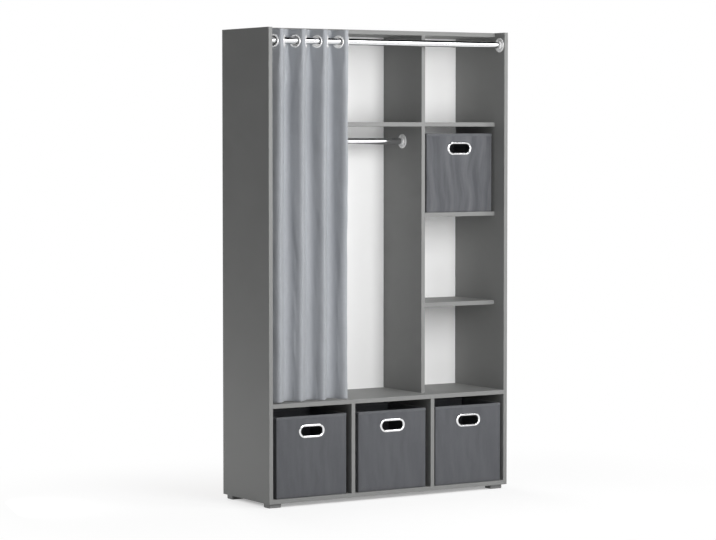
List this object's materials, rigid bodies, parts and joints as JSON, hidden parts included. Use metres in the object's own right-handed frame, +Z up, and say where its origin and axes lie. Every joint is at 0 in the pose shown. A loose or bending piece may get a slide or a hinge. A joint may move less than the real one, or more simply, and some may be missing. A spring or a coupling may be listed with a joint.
{
  "type": "storage wardrobe",
  "caption": "Open storage wardrobe for a child's room: boarded carcass with a hanging bay and a shelf column, a sliding eyelet curtain and pull-out fabric bins.",
  "frame": {"origin": "centre of the footprint, on the floor under the feet", "axes": "+X along the width, to the right seen from the front; +Y from the front to the back; +Z up"},
  "size_m": [1.058, 0.345, 1.754],
  "materials": {
    "grey_board": "matt grey melamine",
    "white_back": "white foiled hardboard",
    "zinc": "zinc plated",
    "beech": "raw beech",
    "foot_plastic": "moulded",
    "chrome": "polished",
    "curtain_cloth": "smooth satin weave",
    "bin_fabric": "woven canvas",
    "stiff_card": "grey board"
  },
  "bodies": {
    "cabinet": {"left_side": "grey_board", "right_side": "grey_board", "top_panel": "grey_board", "bottom_panel": "grey_board", "middle_shelf": "grey_board", "tall_divider": "grey_board", "lower_divider_left": "grey_board", "lower_divider_right": "grey_board", "wide_top_shelf": "grey_board", "top_shelf_right": "grey_board", "bin_shelf": "grey_board", "lower_shelf": "grey_board", "back_left": "white_back", "back_right": "white_back", "back_nails": "zinc", "dowels": "beech", "cam_bolts": "zinc", "cam_discs": "zinc", "feet": "foot_plastic", "foot_screws": "zinc", "curtain_rod": "chrome", "rod_flanges": "chrome", "hanging_rail": "chrome", "rail_flanges": "chrome", "flange_screws": "zinc"},
    "curtain": {"curtain_heading": "curtain_cloth", "curtain_cloth": "curtain_cloth", "eyelet_fronts": "chrome", "eyelet_backs": "chrome"},
    "bin_left": {"bin_left_cover": "bin_fabric", "bin_left_stiffeners": "stiff_card", "bin_left_base_board": "bin_fabric", "bin_left_rim_binding": "bin_fabric", "bin_left_handle_front": "chrome", "bin_left_handle_back": "chrome"},
    "bin_middle": {"bin_middle_cover": "bin_fabric", "bin_middle_stiffeners": "stiff_card", "bin_middle_base_board": "bin_fabric", "bin_middle_rim_binding": "bin_fabric", "bin_middle_handle_front": "chrome", "bin_middle_handle_back": "chrome"},
    "bin_right": {"bin_right_cover": "bin_fabric", "bin_right_stiffeners": "stiff_card", "bin_right_base_board": "bin_fabric", "bin_right_rim_binding": "bin_fabric", "bin_right_handle_front": "chrome", "bin_right_handle_back": "chrome"},
    "bin_upper": {"bin_upper_cover": "bin_fabric", "bin_upper_stiffeners": "stiff_card", "bin_upper_base_board": "bin_fabric", "bin_upper_rim_binding": "bin_fabric", "bin_upper_handle_front": "chrome", "bin_upper_handle_back": "chrome"}
  },
  "joints": [
    {"name": "curtain_slide", "type": "slide", "parent": "cabinet", "child": "curtain", "axis": [1, 0, 0], "range_m": [0, 0.66]},
    {"name": "bin_left_slide", "type": "slide", "parent": "cabinet", "child": "bin_left", "axis": [0, 1, 0], "range_m": [-0.27, 0]},
    {"name": "bin_middle_slide", "type": "slide", "parent": "cabinet", "child": "bin_middle", "axis": [0, 1, 0], "range_m": [-0.27, 0]},
    {"name": "bin_right_slide", "type": "slide", "parent": "cabinet", "child": "bin_right", "axis": [0, 1, 0], "range_m": [-0.27, 0]},
    {"name": "bin_upper_slide", "type": "slide", "parent": "cabinet", "child": "bin_upper", "axis": [0, 1, 0], "range_m": [-0.27, 0]}
  ]
}
